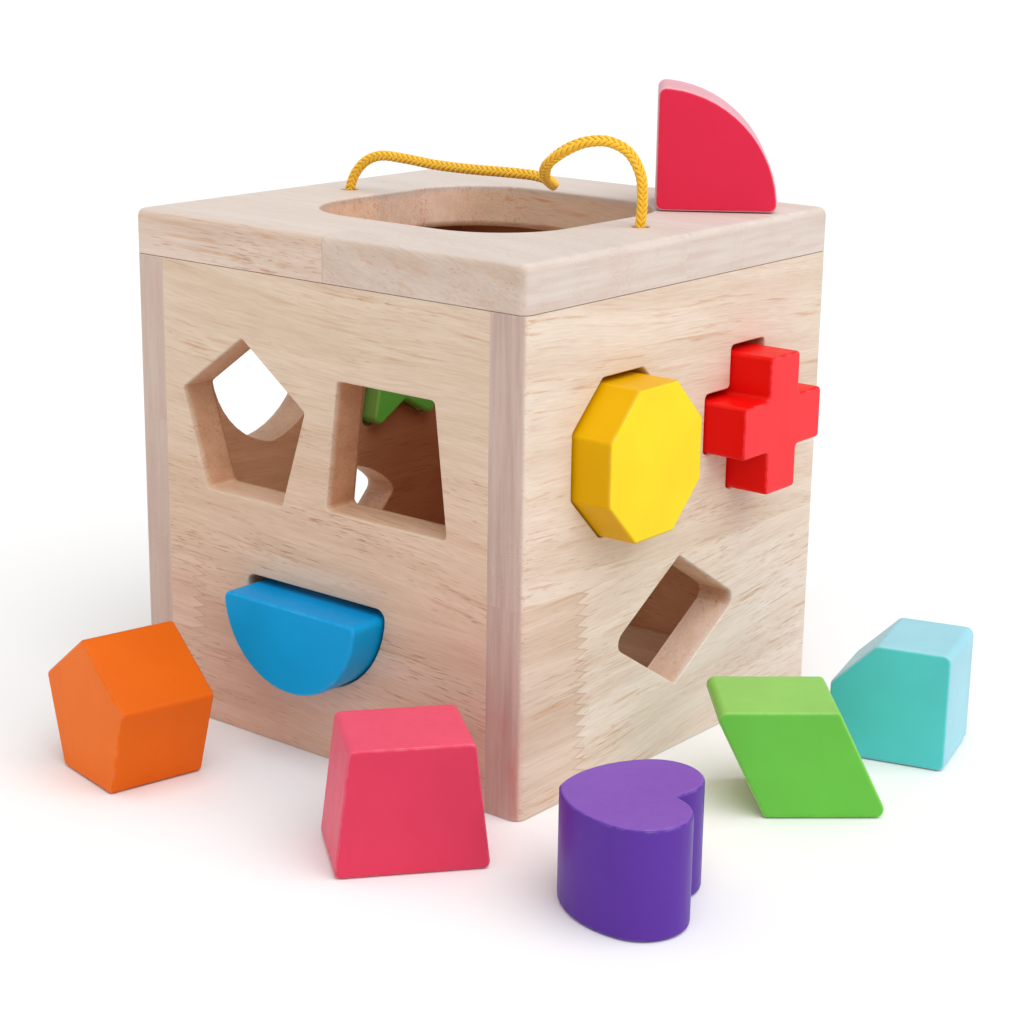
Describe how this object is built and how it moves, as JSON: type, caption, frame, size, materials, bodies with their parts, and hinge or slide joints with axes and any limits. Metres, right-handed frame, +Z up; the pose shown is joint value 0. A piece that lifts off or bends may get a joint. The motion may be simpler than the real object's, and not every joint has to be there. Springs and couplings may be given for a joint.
{
  "type": "wooden shape sorter",
  "caption": "Wooden sorting box with shaped holes in its walls, a hand opening and cord handle on top, and coloured blocks that match the holes.",
  "frame": {"origin": "centre of the underside of the floor panel, on the surface that the box stands on", "axes": "+Z up, front wall towards -Y, right wall towards +X; the handle cord's holes lie along X"},
  "size_m": [0.2381, 0.2947, 0.1925],
  "materials": {
    "wood": "bare sanded pale hardwood with visible grain, end grain and finger joints",
    "orange": "satin orange paint on wood",
    "pink": "satin pink paint on wood",
    "blue": "satin blue paint on wood",
    "yellow": "satin yellow paint on wood",
    "red": "satin red paint on wood",
    "green": "satin green paint on wood",
    "purple": "satin purple paint on wood",
    "crimson": "satin crimson paint on wood",
    "teal": "satin teal paint on wood",
    "cord": "braided yellow orange cotton cord"
  },
  "bodies": {
    "sorting_box": {"floor_panel": "wood", "front_wall": "wood", "right_wall": "wood", "back_wall": "wood", "left_wall": "wood", "lid": "wood", "carry_cord": "cord", "left_cord_knot": "cord", "right_cord_knot": "cord"},
    "pentagon_block": {"pentagon_block": "orange"},
    "trapezoid_block": {"trapezoid_block": "pink"},
    "semicircle_block": {"semicircle_block": "blue"},
    "octagon_block": {"octagon_block": "yellow"},
    "cross_block": {"cross_block": "red"},
    "rhombus_block": {"rhombus_block": "green"},
    "quarter_circle_block": {"quarter_circle_block": "crimson"},
    "heart_block": {"heart_block": "purple"},
    "star_block": {"star_block": "green"},
    "cut_corner_block": {"cut_corner_block": "teal"},
    "triangle_block": {"triangle_block": "blue"},
    "round_block": {"round_block": "orange"}
  },
  "joints": [
    {"name": "semicircle_slide", "type": "slide", "parent": "sorting_box", "child": "semicircle_block", "axis": [0, -1, 0], "range_m": [-0.024, 0.017]},
    {"name": "octagon_slide", "type": "slide", "parent": "sorting_box", "child": "octagon_block", "axis": [1, 0, 0], "range_m": [-0.0248, 0.0178]},
    {"name": "cross_slide", "type": "slide", "parent": "sorting_box", "child": "cross_block", "axis": [1, 0, 0], "range_m": [-0.0265, 0.0162]},
    {"name": "star_slide", "type": "slide", "parent": "sorting_box", "child": "star_block", "axis": [-1, 0, 0], "range_m": [-0.0255, 0.0172]},
    {"name": "triangle_slide", "type": "slide", "parent": "sorting_box", "child": "triangle_block", "axis": [0, 1, 0], "range_m": [-0.0245, 0.0182]},
    {"name": "pentagon_lift", "type": "slide", "parent": "sorting_box", "child": "pentagon_block", "axis": [0, 0, 1], "range_m": [0, 0.2]},
    {"name": "trapezoid_lift", "type": "slide", "parent": "sorting_box", "child": "trapezoid_block", "axis": [0, 0, 1], "range_m": [0, 0.2]},
    {"name": "heart_lift", "type": "slide", "parent": "sorting_box", "child": "heart_block", "axis": [0, 0, 1], "range_m": [0, 0.2]},
    {"name": "rhombus_lift", "type": "slide", "parent": "sorting_box", "child": "rhombus_block", "axis": [0, 0, 1], "range_m": [0, 0.2]},
    {"name": "cut_corner_lift", "type": "slide", "parent": "sorting_box", "child": "cut_corner_block", "axis": [0, 0, 1], "range_m": [0, 0.2]},
    {"name": "round_lift", "type": "slide", "parent": "sorting_box", "child": "round_block", "axis": [0, 0, 1], "range_m": [0, 0.2]},
    {"name": "quarter_circle_lift", "type": "slide", "parent": "sorting_box", "child": "quarter_circle_block", "axis": [0, 0, 1], "range_m": [0, 0.1]}
  ]
}
